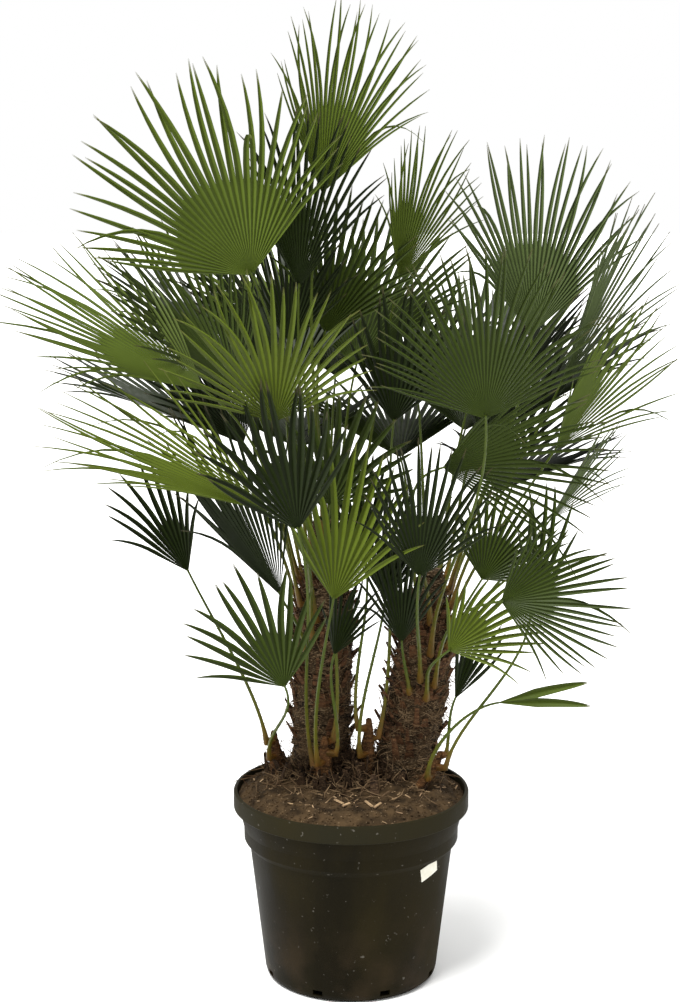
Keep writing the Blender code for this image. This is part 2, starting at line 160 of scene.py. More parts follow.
# A stem's foot and tip, its radii, the height where its crown starts, and the sides of its solid
Stem = namedtuple("Stem", "foot tip foot_radius radius tip_radius crown sides")
STEMS = {
    "trunk_left": Stem((-0.066, 0.075, FOOT), (-0.055, 0.085, 0.98), 0.068, 0.06, 0.022, 0.7, 16),
    "trunk_right": Stem((0.112, 0.062, FOOT), (0.17, 0.075, 0.87), 0.07, 0.061, 0.022, 0.6, 16),
    "sucker_left": Stem((-0.155, 0.05, FOOT), (-0.166, 0.05, 0.52), 0.018, 0.015, 0.01, 0.45, 8),
    "sucker_front": Stem((-0.058, -0.02, FOOT), (-0.056, -0.026, 0.53), 0.021, 0.017, 0.01, 0.45, 8),
    "sucker_middle": Stem((0.03, 0.015, FOOT), (0.038, 0.01, 0.56), 0.017, 0.015, 0.01, 0.47, 8),
    "sucker_right": Stem((0.146, -0.03, FOOT), (0.186, -0.034, 0.5), 0.014, 0.012, 0.009, 0.44, 8),
}

# A frond: its hub, the way its blade points and faces, its leaflets' reach, half spread and number
Frond = namedtuple("Frond", "name tone stem hub axis face radius spread leaflets fold")

# The fronds placed from the photograph: name, leaf colour (bright is painted light, half and the darkest
# tone painted shade), stem and hub, tilts to the right and to the front and turn in degrees, reach, half
# spread, leaflets, and the fold where it isn't the usual one
FRONT_FRONDS = (
    ("top_centre", "mid", "trunk_left", (-0.06, 0.02, 1.66), 13, -3, 0, 0.41, 36, 12, 0.15),
    ("upper_left", "mid", "trunk_left", (-0.196, -0.15, 1.507), -25, 4, 0, 0.45, 62, 12, 0.15),
    ("left", "mid", "trunk_left", (-0.297, -0.1, 1.275), -57, 2, 58, 0.47, 42, 12, 0.2),
    ("left_behind", "half", "trunk_left", (-0.237, 0.0431, 1.254), -32, 0, 50, 0.42, 50, 10),
    ("left_low", "bright", "trunk_left", (-0.164, -0.217, 1.051), -63, 2, 45, 0.5, 26, 10),
    ("left_inner", "dark", "trunk_left", (-0.147, -0.06, 0.844), -27, 0, 45, 0.48, 32, 8),
    ("centre_left", "bright", "trunk_left", (-0.147, -0.253, 1.234), -5, 30, 0, 0.36, 56, 10),
    ("inner_left", "dark", "trunk_left", (-0.128, 0.06, 1.351), 8, 0, 0, 0.26, 42, 8),
    ("inner_centre", "half", "trunk_left", (-0.055, 0.09, 1.37), 18, 0, 0, 0.32, 48, 8),
    ("centre_low", "half", "sucker_front", (-0.042, -0.0808, 1.035), 10, 18, 0, 0.27, 60, 8),
    ("upper_middle", "mid", "trunk_left", (0.1, 0.1, 1.48), 14, 0, 20, 0.33, 32, 10),
    ("centre_right", "half", "trunk_right", (0.243, -0.448, 1.268), -5, 20, 0, 0.36, 60, 14),
    ("upper_right", "grey", "trunk_right", (0.368, -0.00672, 1.378), 3, -8, 0, 0.42, 45, 12),
    ("right_upper", "grey", "trunk_right", (0.425, -0.04, 1.282), 23, 0, 55, 0.42, 40, 10),
    ("right", "mid", "trunk_right", (0.411, -0.0904, 1.154), 31, 5, 40, 0.36, 42, 10),
    ("right_lower", "grey", "trunk_right", (0.42, 0.06, 0.98), 33, 0, 55, 0.26, 40, 8),
    ("low_right", "half", "trunk_right", (0.292, -0.26, 0.8793), 78, 18, 0, 0.26, 62, 10),
    ("low_inner", "half", "trunk_right", (0.27, -0.0318, 0.8699), 30, 5, 0, 0.23, 60, 8),
    ("low_bright", "bright", "trunk_right", (0.195, -0.17, 0.755), 50, 12, 0, 0.22, 52, 6),
    ("right_level", "half", "trunk_right", (0.178, -0.207, 1.136), 76, 8, 20, 0.34, 50, 10),
    ("inner_right", "dark", "trunk_right", (0.105, -0.05, 0.74), -2, 10, 0, 0.27, 34, 6),
    ("sucker_left_far", "dark", "sucker_left", (-0.34, 0.0, 0.88), -25, 0, 0, 0.26, 34, 6),
    ("sucker_left_near", "half", "sucker_left", (-0.136, -0.12, 0.665), -22, 8, 0, 0.29, 52, 8),
    ("sucker_front_tall", "bright", "sucker_front", (-0.0366, -0.17, 0.8604), 10, 3, 0, 0.34, 42, 8),
    ("sucker_front_short", "dark", "sucker_front", (-0.036, -0.0609, 0.7163), 18, 5, 0, 0.2, 30, 6),
    ("sucker_middle_one", "dark", "sucker_middle", (0.07, -0.03, 0.825), 6, 0, 0, 0.26, 36, 6),
    ("sucker_middle_two", "dark", "sucker_middle", (0.03, 0.02, 0.901), -10, 0, 0, 0.25, 36, 6),
    ("sucker_right_low", "mid", "sucker_right", (0.3, -0.1, 0.625), 80, 4, 0, 0.21, 14, 2),
    ("sucker_right_mid", "dark", "sucker_right", (0.216, -0.06, 0.622), 22, 0, 0, 0.21, 24, 4),
    ("sucker_right_tall", "half", "sucker_right", (0.363, -0.12, 0.805), 8, 0, 0, 0.31, 18, 4),
    ("mid_left", "dark", "sucker_front", (-0.105, -0.26, 1.022), -14, 8, 0, 0.32, 46, 8),
    ("mid_right", "dark", "trunk_right", (0.134, -0.208, 0.9158), 6, 8, 0, 0.3, 46, 8),
    ("mid_centre", "dark", "sucker_middle", (0.0876, 0.0333, 1.19), 6, 4, 0, 0.3, 44, 8),
    ("mid_behind", "dark", "trunk_right", (0.306, 0.094, 1.071), 12, 0, 25, 0.34, 46, 8),
    ("left_under", "dark", "trunk_left", (-0.228, 0.101, 1.133), -28, 0, 30, 0.34, 44, 8),
    ("upper_inner", "dark", "trunk_left", (-0.107, -0.00163, 1.472), 2, 0, 20, 0.38, 36, 8),
)
# Leaf tones: mid and grey are the leaves' own colours, bright is painted light, and half and the darkest tone
# are painted shade
TONES = ("mid", "bright", "grey", "half", "dark")


def around(radius, turn, height=0):
    """A point at a radius from an upright axis."""
    return Vector((radius * cos(turn), radius * sin(turn), height))


def turned(vector, about, degrees):
    return Matrix.Rotation(radians(degrees), 3, about) @ vector


def stem_axis(stem, share):
    """Point of the stem's axis at a share of its height. The axis bends up: it leans most near its foot."""
    foot, tip = Vector(stem.foot), Vector(stem.tip)
    bend = 1 - (1 - share) ** 1.5
    return Vector((foot.x + (tip.x - foot.x) * bend, foot.y + (tip.y - foot.y) * bend,
                   foot.z + (tip.z - foot.z) * share))


def stem_radius(stem, share):
    """A root flare, a nearly even body, and a crown that rounds in to the tip."""
    height = (stem.tip[2] - stem.foot[2]) * share
    crown = (stem.crown - stem.foot[2]) / (stem.tip[2] - stem.foot[2])
    flare = max(0.0, 1 - height / FLARE_HEIGHT) ** 2 * (stem.foot_radius - stem.radius)
    if share <= crown:
        return stem.radius + flare
    inward = (share - crown) / (1 - crown)
    return stem.radius + flare - (stem.radius - stem.tip_radius) * inward ** 1.6


def facing(name, tone, stem, hub, slant, lean, turn, radius, spread, leaflets, fold=0.3):
    """A frond by its looks from the front: slant is its tilt to the right, lean its tilt to the front."""
    slant, lean = radians(slant), radians(lean)
    axis = Vector((sin(slant) * cos(lean), -sin(lean), cos(slant) * cos(lean)))
    face = Vector((0, -1, 0))
    face = (face - axis * axis.dot(face)).normalized()
    return Frond("frond_" + name, tone, stem, Vector(hub), axis, turned(face, axis, turn),
                 radius, spread, leaflets, fold)


def back_fronds(stem, count, middle, swing, radius, tones):
    """The fronds of a trunk's far side: low ones first, their headings spread by the golden ratio."""
    rows = []
    crown = stem_axis(STEMS[stem], CROWN_MIDDLE)
    for index in range(count):
        share = (index + 0.5) / count
        side = 2 * ((index * BACK_GOLDEN + BACK_PHASE) % 1) - 1
        rise = radians(BACK_RISE + BACK_RISE_GAIN * share)
        heading = radians(middle + swing * side * (0.6 + 0.4 * share))
        reach = BACK_REACH + BACK_REACH_GAIN * sin(pi * share)
        level = around(1, heading)
        hub = crown + reach * (level * cos(rise) + Vector((0, 0, sin(rise))))
        rise -= BLADE_NOD
        axis = level * cos(rise) + Vector((0, 0, sin(rise)))
        face = Vector((0, 0, cos(rise))) - level * sin(rise)
        name = "frond_%s_back_%d" % (stem.split("_")[1], index + 1)
        rows.append(Frond(name, tones[index % len(tones)], stem, hub, axis, face, radius, *BACK_BLADE))
    return rows


def fronds():
    """Those placed from the photograph, then the ones of the far side."""
    # The far side's fronds mostly take the half and darkest tones: painted shade
    return ([facing(*row) for row in FRONT_FRONDS]
            + back_fronds("trunk_left", 8, 112, 48, 0.42, ("half", "dark", "mid"))
            + back_fronds("trunk_right", 7, 72, 46, 0.4, ("dark", "half", "grey")))


def seat_way(frond, stem, share, turn):
    """The middle of the stem at the seat, and the level way out from there to the frond's side."""
    centre = stem_axis(stem, share)
    away = Vector((frond.hub.x - centre.x, frond.hub.y - centre.y, 0)).normalized()
    return centre, turned(away, UP, turn)


def seats(rows):
    """The share of its stem's height where each frond is seated, lowest for the most level, and its turn."""
    found = {}
    for name, stem in STEMS.items():
        own = [row for row in rows if row.stem == name]
        middle = stem_axis(stem, SEAT_MIDDLE)
        own.sort(key=lambda row: (row.hub - middle).normalized().z)
        lowest = (stem.crown - stem.foot[2]) / (stem.tip[2] - stem.foot[2])
        for index, row in enumerate(own):
            turn = 0 if name.startswith("trunk") else SEAT_TURN * (index - (len(own) - 1) / 2)
            found[row.name] = (lowest + (SEAT_TOP - lowest) * (index + 0.5) / len(own), turn)
    return found


def petiole(frond, start, normal):
    """Points from the stem to the hub, each with the way across the petiole and its width."""
    across_hub = frond.axis.cross(frond.face)
    across_base = normal.cross(UP).normalized()
    if across_base.dot(across_hub) < 0:
        across_base.negate()
    first = start + normal * PETIOLE_START
    length = (frond.hub - first).length
    bend = first + (normal * PETIOLE_OUTWARDS + UP).normalized() * PETIOLE_BEND * length
    arrive = frond.hub - frond.axis * PETIOLE_BEND * length
    route = [(start, across_base, BASE_WIDTH)]
    for step in range(PETIOLE_STEPS + 1):
        t = step / PETIOLE_STEPS
        point = ((1 - t) ** 3 * first + 3 * t * (1 - t) ** 2 * bend + 3 * t * t * (1 - t) * arrive
                 + t ** 3 * frond.hub)
        along = (3 * (1 - t) ** 2 * (bend - first) + 6 * t * (1 - t) * (arrive - bend)
                 + 3 * t * t * (frond.hub - arrive)).normalized()
        across = across_base.lerp(across_hub, t)
        across = (across - along * across.dot(along)).normalized()
        route.append((point, across, BASE_WIDTH + (HUB_WIDTH - BASE_WIDTH) * t))
    return route


def leaflet_length(frond, angle):
    return frond.radius * (1 - OUTER_SHORTENING * (abs(angle) / frond.spread) ** 2.2)


def blade_point(frond, angle, reach, sideways=0.0):
    """A point of the blade: angle in degrees from its axis, reach and sideways in metres."""
    turn = radians(angle)
    across = frond.axis.cross(frond.face)
    along = frond.axis * cos(turn) + across * sin(turn)
    beside = across * cos(turn) - frond.axis * sin(turn)
    lift = frond.fold * reach * (angle / frond.spread) ** 2
    return frond.hub + along * reach + beside * sideways + frond.face * lift


def body_radius(height):
    """Outer radius of the pot's tapered body."""
    share = (height - CORNER) / (COLLAR_FOOT - CORNER)
    return BODY_FOOT_RADIUS + (BODY_RADIUS - BODY_FOOT_RADIUS) * share


def count(name, description, value):
    return bpy.props.IntProperty(name=name, description=description, default=value)


def colour(name, description, *value):
    return bpy.props.FloatVectorProperty(name=name, description=description, subtype="COLOR", default=value)


class PalmSizes(bpy.types.PropertyGroup):
    """Sizes and counts that shape the fine pieces."""

    leaflets: bpy.props.FloatProperty(
        name="Leaflet density", description="Fine leaflets for each leaflet of the solid", default=2.5)
    leaf_thickness: bpy.props.FloatProperty(
        name="Leaf thickness", description="Thickness of a leaflet", default=0.0009, unit="LENGTH")
    strands: count("Fibre strands", "Loose fibres on each trunk", 1500)
    stubs: count("Old leaf bases", "Cut leaf bases on each trunk", 190)
    fallen: count("Dead leaf bases", "Dead leaf bases heaped between the stems", 170)
    crumbs: count("Soil crumbs", "Loose crumbs on the soil", 1500)
    seed: count("Seed", "Start of every random draw", 7)


class PalmColours(bpy.types.PropertyGroup):
    """Base colours, linear. The young, shaded and inner leaf colours are lighter and darker copies of the
    leaf colour: painted light and painted shade.
    """

    mid: colour("Leaf", "Most of the fronds", 0.052, 0.075, 0.0075)
    # Partly painted light: a lighter copy of the leaf colour for the fronds in the light, and a little
    # yellower as young leaf
    bright: colour("Young leaf", "Fronds in the light", 0.064, 0.088, 0.007)
    # Painted shade: a darker copy of the leaf colour for the shaded fronds lower in the crown
    half: colour("Shaded leaf", "Fronds lower in the crown", 0.024, 0.037, 0.0038)
    # Painted shade: a much darker copy of the leaf colour for the fronds inside the crown, where its shade
    # falls
    dark: colour("Inner leaf", "Fronds inside the crown", 0.0075, 0.0125, 0.0015)
    grey: colour("Grey leaf", "Fronds at the upper right", 0.046, 0.064, 0.019)
    pot: colour("Pot", "Moulded plastic", 0.0062, 0.0048, 0.0016)
    rim: colour("Rim", "Rim of the pot", 0.0135, 0.012, 0.006)
    soil: colour("Soil", "Damp peat", 0.0438, 0.0271, 0.0126)
    bark: colour("Trunk", "Fibre over old leaf bases", 0.0393, 0.0239, 0.0114)


class Value:
    """A socket of a material, whose operators add Math nodes."""

    def __init__(self, finish, socket):
        self.finish, self.socket = finish, socket

    def math(self, operation, *others):
        return self.finish.node("Math", {"operation": operation}, self, *others)

    def __add__(self, other):
        return self.math("ADD", other)

    def __mul__(self, other):
        return self.math("MULTIPLY", other)

    def __rsub__(self, other):
        return self.math("MULTIPLY_ADD", -1.0, other)

    __radd__ = __add__


class Finish:
    """A Principled material, with one method that adds a node of any kind."""

    def __init__(self, name, roughness, shine=0.1):
        self.made = bpy.data.materials.new(name)
        self.made.use_nodes = True
        self.tree = self.made.node_tree
        self.shader = self.tree.nodes["Principled BSDF"]
        self.shader.inputs["Roughness"].default_value = roughness
        self.shader.inputs["Specular IOR Level"].default_value = shine

    def feed(self, socket, value):
        if isinstance(value, Value):
            self.tree.links.new(value.socket, socket)
        else:
            socket.default_value = value

    def node(self, kind, settings, *values, out=0, **named):
        node = self.tree.nodes.new("ShaderNode" + kind)
        for key, value in settings.items():
            setattr(node, key, value)
        for index, value in enumerate(values):
            self.feed(node.inputs[index], value)
        for key, value in named.items():
            self.feed(node.inputs[key], value)
        return Value(self, node.outputs[out])

    def place(self):
        """Where a spot lies in the object's own coordinates, which are the part's."""
        return self.node("TexCoord", {}, out=3)

    def noise(self, scale, detail=3.0, stretch=(1, 1, 1)):
        spot = self.node("Mapping", {}, self.place(), Scale=stretch)
        return self.node("TexNoise", {}, Vector=spot, Scale=scale, Detail=detail)

    def mix(self, factor, one, two):
        node = self.tree.nodes.new("ShaderNodeMix")
        node.data_type = "RGBA"
        for socket, value in zip((node.inputs[0], node.inputs[6], node.inputs[7]), (factor, one, two)):
            self.feed(socket, value)
        return Value(self, node.outputs[2])

    def between(self, value, low=0.35, high=0.65):
        """0 below low, 1 above high, and even in between."""
        return self.node("MapRange", {}, value, low, high, 0.0, 1.0)

    def paint(self, colour, roughness, height=None, depth=0.0):
        self.feed(self.shader.inputs["Base Color"], colour)
        self.feed(self.shader.inputs["Roughness"], roughness)
        if height is not None:
            bump = self.node("Bump", {}, Height=height, Distance=depth, Strength=0.6)
            self.feed(self.shader.inputs["Normal"], bump)
        return self.made


def shade(colour, factor):
    return (*(min(1.0, part * factor) for part in colour), 1.0)


def leaf_finish(name, colour):
    """A leaflet's two pleat sides are painted one lit and one in shade, and its tip is browner: both are read
    from its own UV.
    """
    finish = Finish(name, 0.42, LEAF_SHINE)
    spot = finish.node("UVMap", {})
    across = finish.node("SeparateXYZ", {}, spot)
    along = finish.node("SeparateXYZ", {}, spot, out=1)
    broad = finish.between(finish.noise(5.0))
    fine = finish.between(finish.noise(60.0), 0.3, 0.7)
    base = finish.mix(broad, shade(colour, 0.7), shade(colour, 1.25))
    # Painted light and shade on the pleat: one half of the leaflet is a darker copy of the colour and the
    # other a lighter one, the same half lit on every frond
    pleat_painted_light_shade = finish.mix(finish.between(across, 0.38, 0.62), shade(colour, 0.45), shade(colour, 1.75))
    striped = finish.mix(0.45 + fine * 0.15, base, pleat_painted_light_shade)
    tips = finish.between(along, 0.9, 1.0)
    return finish.paint(finish.mix(tips * 0.6, striped, LEAF_TIP), 0.38 + fine * 0.16)


def petiole_finish():
    """Orange-brown at the foot, then yellow-green, then green: read along the petiole's own UV."""
    finish = Finish("petiole_green", 0.42)
    along = finish.node("SeparateXYZ", {}, finish.node("UVMap", {}))
    base = finish.node("ValToRGB", {}, along)
    stops = base.socket.node.color_ramp.elements
    while len(stops) < len(PETIOLE_STOPS):
        stops.new(1.0)
    for stop, (place, colour) in zip(stops, PETIOLE_STOPS):
        stop.position = place
        stop.color = (*colour, 1)
    speckle = finish.between(finish.noise(90.0), 0.45, 0.75)
    return finish.paint(finish.mix(speckle * 0.5, base, PETIOLE_SPECKLE), 0.38 + speckle * 0.2)


def bark_finish(name, colour, pale):
    """Dark and pale bands of old leaf bases, with worn hairs on them."""
    finish = Finish(name, 0.9)
    rows = finish.noise(26.0, 5.0, (1, 1, 4))
    hairs = finish.noise(160.0, 4.0, (1, 1, 5))
    base = finish.mix(finish.between(rows), shade(colour, 0.15), shade(colour, 1.3))
    worn = finish.mix(finish.between(hairs, 0.54, 0.74), base, (*pale, 1))
    return finish.paint(worn, 0.82 + hairs * 0.15, hairs, 0.002)


def strand_finish():
    finish = Finish("loose_fibre", 0.85)
    tint = finish.between(finish.noise(30.0))
    return finish.paint(finish.mix(tint, *FIBRE), 0.75 + tint * 0.15)


def pot_finish(colour, rim):
    """Dull black plastic: a greyer rim, smeared dust, and brown dirt towards the foot."""
    finish = Finish("pot_plastic", 0.6, 0.04)
    height = finish.node("SeparateXYZ", {}, finish.place(), out=2)
    band = finish.between(height, COLLAR_FOOT + 0.066, COLLAR_FOOT + 0.072)
    base = finish.mix(band, (*colour, 1), (*rim, 1))
    smears = finish.between(finish.noise(7.0, 6.0, (1, 1, 0.35)), 0.42, 0.72)
    dusty = finish.mix(smears * 0.7, base, shade(colour, 3.2))
    low = 1 - finish.between(height, 0.02, 0.22)
    stain = finish.between(finish.noise(11.0, 5.0), 0.45, 0.7) * low
    dirty = finish.mix(stain * 0.7, dusty, POT_DIRT)
    specks = finish.between(finish.noise(95.0, 2.0), 0.7, 0.76)
    grain = finish.noise(300.0, 2.0)
    return finish.paint(finish.mix(specks * 0.5, dirty, POT_SPECK), 0.46 + smears * 0.3, grain, 0.0006)


def soil_finish(colour):
    finish = Finish("soil", 0.95)
    clods = finish.noise(38.0, 6.0)
    grit = finish.noise(210.0, 3.0)
    base = finish.mix(finish.between(clods), shade(colour, 0.38), shade(colour, 1.35))
    pale = finish.between(grit, 0.64, 0.72)
    return finish.paint(finish.mix(pale * 0.6, base, SOIL_GRIT), 0.9 + grit * 0.08, grit, 0.002)


def plain_finish(name, colour, other, scale, roughness):
    """Two colours in soft patches, whose size the scale sets."""
    finish = Finish(name, roughness)
    tint = finish.between(finish.noise(scale))
    return finish.paint(finish.mix(tint, (*colour, 1), (*other, 1)), roughness - 0.1 + tint * 0.15)


def choose_only(item):
    bpy.ops.object.select_all(action="DESELECT")
    item.select_set(True)
    bpy.context.view_layer.objects.active = item


def finished(item, name, finish, slot, *nodes):
    """Names the piece, gives it its material, and hands it to the frame."""
    item.name = item.data.name = name
    item.data.materials.clear()
    item.data.materials.append(finish)
    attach(item, "root")
    if nodes:
        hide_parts(*nodes)


def applied(item):
    """Applies the object's place and its modifiers."""
    choose_only(item)
    bpy.ops.object.transform_apply(location=True, rotation=True, scale=True)
    for modifier in list(item.modifiers):
        bpy.ops.object.modifier_apply(modifier=modifier.name)
    return item


def wrapped_grid(around, along, place, angle=50):
    """A grid rolled into a closed round shape: place gives a point for each turn and share of the height."""
    bpy.ops.mesh.primitive_grid_add(x_subdivisions=around, y_subdivisions=along, size=1)
    item = bpy.context.object
    for vert in item.data.vertices:
        turn, share = vert.co.x + 0.5, vert.co.y + 0.5
        vert.co = place((turn % 1.0) * tau, min(1.0, max(0.0, share)))
    bpy.ops.object.mode_set(mode="EDIT")
    bpy.ops.mesh.select_all(action="SELECT")
    bpy.ops.mesh.remove_doubles(threshold=0.00002)
    bpy.ops.mesh.select_all(action="DESELECT")
    bpy.ops.mesh.select_mode(type="EDGE")
    bpy.ops.mesh.select_non_manifold()
    if item.data.total_edge_sel:
        bpy.ops.mesh.fill()
    bpy.ops.mesh.select_all(action="SELECT")
    bpy.ops.mesh.normals_make_consistent(inside=False)
    bpy.ops.object.mode_set(mode="OBJECT")
    bpy.ops.object.shade_smooth_by_angle(angle=radians(angle))
    return item


def profile_place(profile):
    """The placing rule of a turned shape: its profile's points are evenly shared along the grid."""
    def place(turn, share):
        spot = share * (len(profile) - 1)
        index = min(len(profile) - 2, int(spot + 1e-6))
        part = spot - index
        radius = profile[index][0] * (1 - part) + profile[index + 1][0] * part
        height = profile[index][1] * (1 - part) + profile[index + 1][1] * part
        return around(radius, turn, height)
    return place


def primitive_shape(kind, **settings):
    """Points and faces of a small primitive, which many copies are then made from."""
    getattr(bpy.ops.mesh, "primitive_%s_add" % kind)(**settings)
    item = bpy.context.object
    points = [vert.co.copy() for vert in item.data.vertices]
    faces = [tuple(face.vertices) for face in item.data.polygons]
    bpy.data.objects.remove(item)
    return points, faces


def ring_faces(rings, sides):
    """The faces of a closed tube: its two ends, then the bands between its rings."""
    last = (rings - 1) * sides
    faces = [tuple(reversed(range(sides))), tuple(range(last, last + sides))]
    for ring in range(rings - 1):
        for corner in range(sides):
            one, two = ring * sides + corner, ring * sides + (corner + 1) % sides
            faces.append((one, two, two + sides, one + sides))
    return faces


class Many:
    """Collects small shapes that are there by the hundred, for one joined mesh."""

    def __init__(self):
        self.points, self.faces, self.uvs = [], [], []

    def add(self, points, faces, uvs=()):
        start = len(self.points)
        self.points += [tuple(point) for point in points]
        self.faces += [tuple(corner + start for corner in face) for face in faces]
        self.uvs += list(uvs)

    def tube(self, centres, radii):
        """A closed thin tube through the centres."""
        points = []
        for index, centre in enumerate(centres):
            ahead = centres[min(index + 1, len(centres) - 1)] - centres[max(index - 1, 0)]
            side = ahead.cross(Vector((0.31, 0.17, 0.94))).normalized()
            up = side.cross(ahead).normalized()
            for corner in range(STRAND_SIDES):
                angle = tau * corner / STRAND_SIDES
                points.append(centre + radii[index] * (side * cos(angle) + up * sin(angle)))
        self.add(points, ring_faces(len(centres), STRAND_SIDES))

    def joined(self, name):
        """All that was collected, as one object."""
        mesh = bpy.data.meshes.new(name)
        mesh.from_pydata(self.points, [], self.faces)
        if self.uvs:
            layer = mesh.uv_layers.new(name="along")
            values = np.array([self.uvs[loop.vertex_index] for loop in mesh.loops], np.float32)
            layer.data.foreach_set("uv", values.ravel())
        item = bpy.data.objects.new(name, mesh)
        bpy.context.scene.collection.objects.link(item)
        return item

    def piece(self, name, finish, slot):
        """The joined object, finished, where it stands for no solid."""
        finished(self.joined(name), name, finish, slot)


def leaflet_points(frond, angle, half_step, rng):
    """Cross-sections of one pleated leaflet, three points each from hub to forked tip, with their UVs."""
    length = leaflet_length(frond, angle) * rng.uniform(*LENGTHS)
    outer = abs(angle) / frond.spread
    sway = rng.gauss(0, SWAY)
    nod = rng.uniform(*NODS) + OUTER_NOD * outer
    if rng.random() < DROOPING and frond.leaflets > 2:
        nod += rng.uniform(*DROOPS)
    flex = rng.gauss(0, FLEX)
    notch_half = NOTCH * length * tan(radians(half_step))
    points, uvs = [], []
    for station, wide in zip(STATIONS, WIDTHS):
        half = min(station * length * tan(radians(half_step)), notch_half) * wide
        for across in (-1, 0, 1):
            share = min(station, FORK) if across == 0 else station
            bent = length * max(0.0, (share - NOTCH) / (1 - NOTCH)) ** 2
            point = blade_point(frond, angle, share * length, across * half + sway * bent)
            fold = PLEAT * half if across == 0 else 0
            points.append(point + frond.face * (flex * bent - fold) + Vector((0, 0, -nod * bent)))
            uvs.append(((across + 1) / 2, share))
    return points, uvs


def leaflet_faces():
    """The two sides of the pleat, between each pair of cross-sections."""
    return [(one, one + 1, one + 4, one + 3)
            for station in range(len(STATIONS) - 1) for one in (station * 3, station * 3 + 1)]


def fine_count(frond, density):
    """Fine leaflets of a frond. Suckers have few and broad ones."""
    if frond.leaflets <= 2:
        return frond.leaflets
    if frond.stem.startswith("sucker"):
        return round(frond.leaflets * density * SUCKER_DENSITY)
    return round(frond.leaflets * density)


class PALM_OT_leaflets(bpy.types.Operator):
    """Cuts every blade into its fine pleated leaflets, one piece for each leaf colour, including the lighter
    and darker copies that are painted light and shade
    """

    bl_idname = "palm.leaflets"
    bl_label = "Leaflets"

    def execute(self, context):
        sizes, colours = context.scene.palm_sizes, context.scene.palm_colours
        rows = fronds()
        for index, tone in enumerate(TONES):
            rng = random.Random(sizes.seed + index)
            many = Many()
            own = [row for row in rows if row.tone == tone]
            for row in own:
                leaflets = fine_count(row, sizes.leaflets)
                half_step = row.spread / leaflets
                for place in range(leaflets):
                    angle = -row.spread + (2 * place + 1) * half_step
                    points, uvs = leaflet_points(row, angle, half_step, rng)
                    many.add(points, leaflet_faces(), uvs)
            item = many.joined("leaflets_" + tone)
            thicken = item.modifiers.new("Thickness", "SOLIDIFY")
            thicken.thickness = sizes.leaf_thickness
            thicken.offset = 0
            applied(item)
            finish = leaf_finish("leaf_" + tone, getattr(colours, tone))
            finished(item, item.name, finish, "leaf", *[row.name for row in own])
        return {"FINISHED"}


def petiole_rings(many, route):
    """A half-round stalk: flat above, round below, widened to a sheath at its foot."""
    rings, uvs = [], []
    for index, (point, across, width) in enumerate(route):
        ahead = route[min(index + 1, len(route) - 1)][0] - route[max(index - 1, 0)][0]
        up = ahead.normalized().cross(across).normalized()
        along = index / (len(route) - 1)
        width = width * (STALK_WIDTH + SHEATH_WIDTH * max(0.0, 1 - along * SHEATH_TAPER))
        for side in range(PETIOLE_SIDES):
            angle = tau * side / PETIOLE_SIDES
            thick = THICK_ABOVE if sin(angle) > 0 else THICK_BELOW
            rings.append(point + across * (width / 2 * cos(angle)) + up * (width * thick * sin(angle)))
            uvs.append((along, side / PETIOLE_SIDES))
    many.add(rings, ring_faces(len(route), PETIOLE_SIDES), uvs)


def spines(many, route, rng):
    """Short thorns along both edges of the lower two thirds."""
    length = (route[-1][0] - route[1][0]).length
    count = max(4, int(0.65 * length / SPINE_EVERY))
    for index in range(count):
        share = 0.12 + 0.6 * index / count
        spot = share * (len(route) - 1)
        low = int(spot)
        point = route[low][0].lerp(route[low + 1][0], spot - low)
        ahead = (route[low + 1][0] - route[low][0]).normalized()
        for side in (-1, 1):
            across, width = route[low][1] * side, route[low][2] * 0.26
            foot = point + across * width
            tip = foot + (across + ahead * 0.8).normalized() * rng.uniform(*SPINE_LENGTHS)
            up = ahead.cross(across) * SPINE_THICKNESS
            corners = [foot - ahead * SPINE_FOOT - across * SPINE_SUNK,
                       foot + ahead * SPINE_FOOT - across * SPINE_SUNK, foot + up - across * SPINE_SUNK, tip]
            many.add(corners, [(0, 1, 2), (0, 3, 1), (1, 3, 2), (2, 3, 0)], [(share, 0)] * 4)


class PALM_OT_petioles(bpy.types.Operator):
    """Draws every petiole from its stem to its blade, with its spines"""

    bl_idname = "palm.petioles"
    bl_label = "Petioles"

    def execute(self, context):
        rng = random.Random(context.scene.palm_sizes.seed + 11)
        rows = fronds()
        places = seats(rows)
        many = Many()
        for row in rows:
            stem = STEMS[row.stem]
            share, turn = places[row.name]
            centre, away = seat_way(row, stem, share, turn)
            route = petiole(row, centre + away * stem_radius(stem, share), away)
            # Its foot is drawn on into the stem, and its end on into the blade
            route[0] = (centre + away * stem_radius(stem, share) * 0.6, route[0][1], route[0][2])
            route.append((row.hub + row.axis * 0.02 * row.radius, route[-1][1], HUB_WIDTH))
            petiole_rings(many, route)
            spines(many, route, rng)
        item = many.joined("petioles")
        choose_only(item)
        bpy.ops.object.shade_smooth_by_angle(angle=radians(50))
        finished(item, "petioles", petiole_finish(), "leaf", *[row.name for row in rows])
        return {"FINISHED"}


